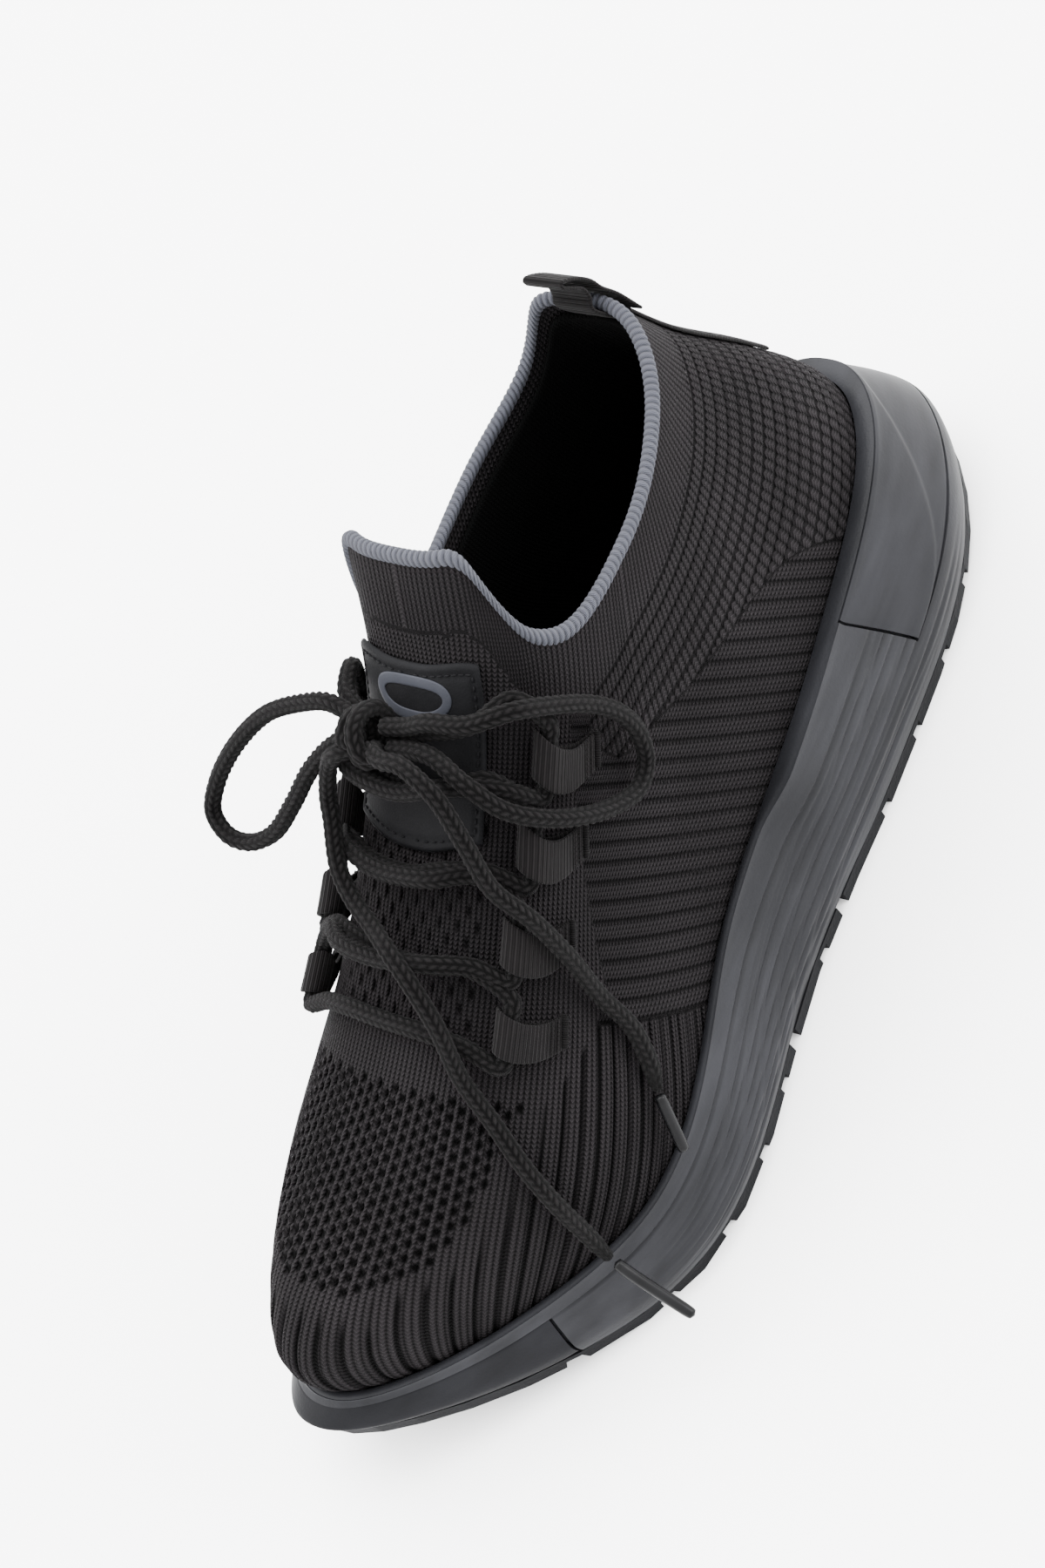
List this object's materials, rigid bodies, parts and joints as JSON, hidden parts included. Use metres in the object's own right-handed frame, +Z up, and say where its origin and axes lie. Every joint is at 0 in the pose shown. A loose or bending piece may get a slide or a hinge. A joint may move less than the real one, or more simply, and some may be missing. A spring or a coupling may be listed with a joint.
{
  "type": "running shoe",
  "caption": "Left running shoe: knitted sock-like upper on a flared foam sole, round lace through webbing loops tied in a bow, pull tab at the heel.",
  "frame": {"origin": "on the ground under the middle of the shoe", "axes": "+Z up, -Y towards the toe, +X towards the outer side of a left foot"},
  "size_m": [0.1264, 0.302, 0.1522],
  "materials": {
    "foam": "semi-gloss moulded foam",
    "tread_rubber": "matt moulded rubber",
    "bumper_rubber": "satin moulded rubber",
    "heel_plastic": "satin gloss",
    "knit": "ribbed knit",
    "lining": "brushed knit",
    "sockliner": "felted",
    "board": "fibre board",
    "binding": "overlocked thread",
    "webbing": "woven tape",
    "patch": "matt coated",
    "print": "printed",
    "lace": "round braid",
    "aglet": "gloss"
  },
  "bodies": {
    "shoe": {"aglet_inner": "aglet", "aglet_outer": "aglet", "back_seam_tape": "webbing", "bow_loop_inner": "lace", "bow_loop_outer": "lace", "collar_binding": "binding", "heel_clip": "heel_plastic", "heel_counter": "board", "insole": "sockliner", "lace_end_inner": "lace", "lace_end_outer": "lace", "lace_knot": "lace", "lace_loop_inner_1": "webbing", "lace_loop_inner_2": "webbing", "lace_loop_inner_3": "webbing", "lace_loop_inner_4": "webbing", "lace_loop_outer_1": "webbing", "lace_loop_outer_2": "webbing", "lace_loop_outer_3": "webbing", "lace_loop_outer_4": "webbing", "lace_rows": "lace", "lining": "lining", "midsole": "foam", "outsole_forefoot": "tread_rubber", "outsole_heel": "tread_rubber", "outsole_midfoot": "tread_rubber", "patch_mark": "print", "strobel_board": "board", "toe_bumper": "bumper_rubber", "toe_puff": "board", "tongue_patch": "patch", "upper": "knit"},
    "pull_tab": {"pull_tab": "webbing"}
  },
  "joints": [
    {"name": "pull_tab_fold", "type": "hinge", "parent": "shoe", "child": "pull_tab", "pos_m": [-0.00047, 0.0991, 0.13689], "axis": [1, 0, 0], "range_deg": [-110, 0]}
  ]
}
